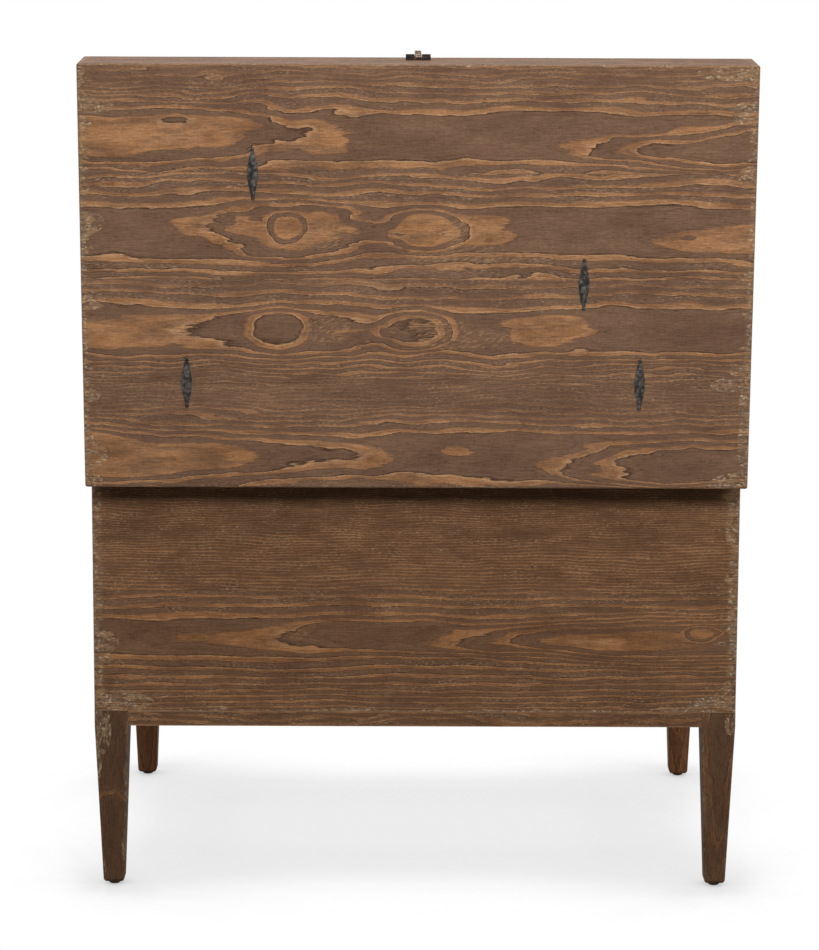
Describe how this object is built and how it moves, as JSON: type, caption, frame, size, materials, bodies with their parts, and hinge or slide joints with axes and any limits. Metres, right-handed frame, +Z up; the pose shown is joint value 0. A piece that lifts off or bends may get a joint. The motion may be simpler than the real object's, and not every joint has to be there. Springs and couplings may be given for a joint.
{
  "type": "lift-lid chest table",
  "caption": "Low wooden chest on four tapered legs, with a deep hinged lid shown open and a folding hasp latch on its front rim.",
  "frame": {"origin": "on the floor, under the middle of the chest", "axes": "+Z up; X across the width, +X to the right seen from the front; the front with the latch faces -Y and the hinges are at the +Y back"},
  "size_m": [0.762, 0.597, 1.0003],
  "materials": {
    "stained_pine": "dark stain, worn edges",
    "plain_pine": "bare, planed",
    "dowel_beech": "bare, turned",
    "wrought_iron": "hammered, waxed",
    "latch_bronze": "aged bronze",
    "hinge_brass": "antique",
    "screw_steel": "dull",
    "glide_steel": "dark, satin"
  },
  "bodies": {
    "chest": {"back_board_lower": "stained_pine", "back_board_upper": "stained_pine", "bottom_panel": "plain_pine", "chest_dowels": "dowel_beech", "corner_block_back_left": "plain_pine", "corner_block_back_right": "plain_pine", "corner_block_front_left": "plain_pine", "corner_block_front_right": "plain_pine", "corner_block_screws": "screw_steel", "foot_glide_back_left": "glide_steel", "foot_glide_back_right": "glide_steel", "foot_glide_front_left": "glide_steel", "foot_glide_front_right": "glide_steel", "front_board_lower": "stained_pine", "front_board_upper": "stained_pine", "hinge_chest_screws": "screw_steel", "hinge_left_chest_leaf": "hinge_brass", "hinge_left_pin": "hinge_brass", "hinge_middle_chest_leaf": "hinge_brass", "hinge_middle_pin": "hinge_brass", "hinge_right_chest_leaf": "hinge_brass", "hinge_right_pin": "hinge_brass", "latch_staple": "latch_bronze", "left_board_lower": "stained_pine", "left_board_upper": "stained_pine", "leg_back_left": "stained_pine", "leg_back_right": "stained_pine", "leg_front_left": "stained_pine", "leg_front_right": "stained_pine", "rail_back": "stained_pine", "rail_front": "stained_pine", "rail_left": "stained_pine", "rail_right": "stained_pine", "right_board_lower": "stained_pine", "right_board_upper": "stained_pine", "stand_screws": "screw_steel"},
    "lid": {"hinge_left_lid_leaf": "hinge_brass", "hinge_lid_screws": "screw_steel", "hinge_middle_lid_leaf": "hinge_brass", "hinge_right_lid_leaf": "hinge_brass", "iron_diamond_1": "wrought_iron", "iron_diamond_2": "wrought_iron", "iron_diamond_3": "wrought_iron", "iron_diamond_4": "wrought_iron", "latch_bar": "latch_bronze", "lid_board_1": "stained_pine", "lid_board_2": "stained_pine", "lid_board_3": "stained_pine", "lid_board_4": "stained_pine", "lid_dowels": "dowel_beech", "lid_rim_back": "stained_pine", "lid_rim_front": "stained_pine", "lid_rim_left": "stained_pine", "lid_rim_right": "stained_pine"},
    "latch_strap": {"latch_strap": "latch_bronze"}
  },
  "joints": [
    {"name": "lid_hinge", "type": "hinge", "parent": "chest", "child": "lid", "pos_m": [0, 0.239, 0.5113], "axis": [1, 0, 0], "range_deg": [0, 94]},
    {"name": "strap_swing", "type": "hinge", "parent": "lid", "child": "latch_strap", "pos_m": [0, 0.29658, 0.99502], "axis": [-1, 0, 0], "range_deg": [0, 181]}
  ]
}
